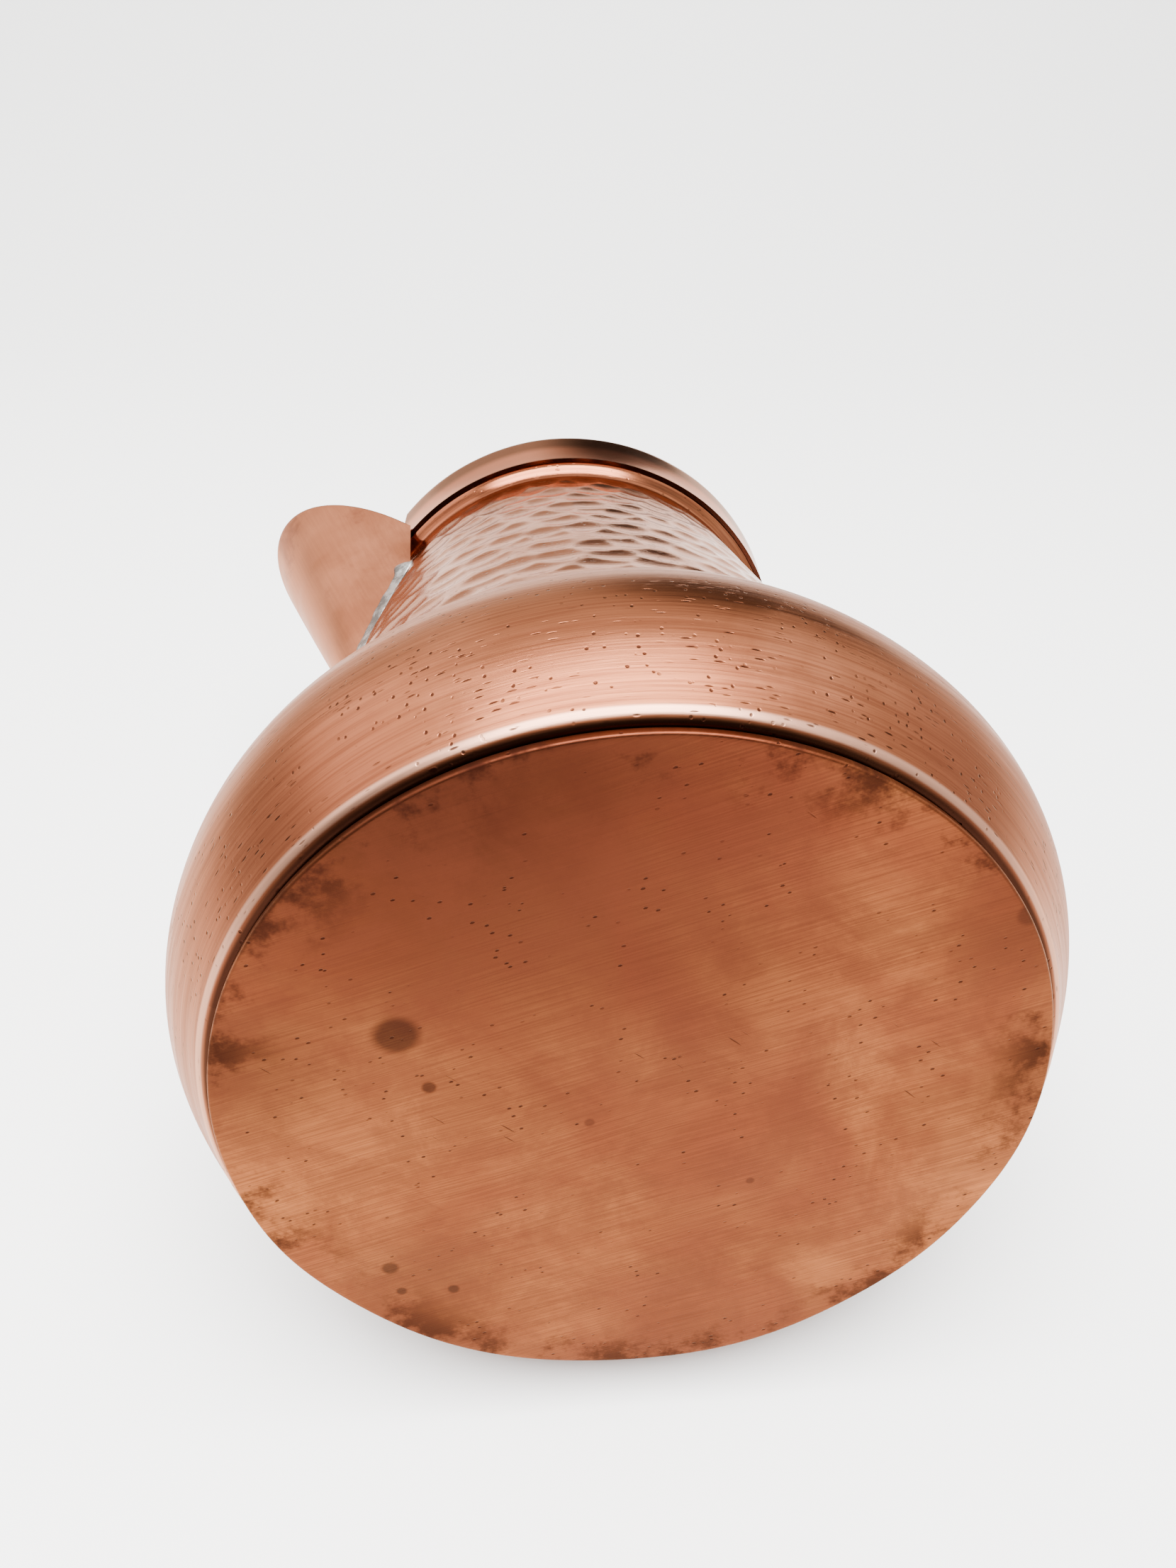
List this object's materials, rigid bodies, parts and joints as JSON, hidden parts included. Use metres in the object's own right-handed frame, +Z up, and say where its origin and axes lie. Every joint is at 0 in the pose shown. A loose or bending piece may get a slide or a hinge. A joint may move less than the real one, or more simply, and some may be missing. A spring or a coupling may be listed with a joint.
{
  "type": "watering can",
  "caption": "Round-bellied sheet-metal watering jug with a hammered neck, a wired rim, an open cone spout soldered to the neck, and a riveted strap handle.",
  "frame": {"origin": "centre of the flat base's underside, on the can's axis", "axes": "+Z up along the can's axis, spout towards -X, handle towards +X"},
  "size_m": [0.1802, 0.1512, 0.1857],
  "materials": {
    "brushed_copper": "brushed copper with pits and brown patina",
    "hammered_copper": "hammered and polished copper",
    "polished_copper": "polished copper",
    "copper_wire": "drawn copper wire",
    "rivet_copper": "hammered copper rivet",
    "braze": "filed brass braze",
    "tin": "dull grey soft solder"
  },
  "bodies": {
    "root": {"base_disc": "brushed_copper", "base_tin": "tin", "bowl": "brushed_copper", "neck_braze": "braze", "neck": "hammered_copper", "rim_band": "polished_copper", "rim_wire": "copper_wire", "spout": "brushed_copper", "spout_tin": "tin", "handle": "polished_copper", "upper_rivets": "rivet_copper", "upper_burrs": "rivet_copper", "lower_rivets": "rivet_copper", "lower_burrs": "rivet_copper"}
  },
  "joints": []
}
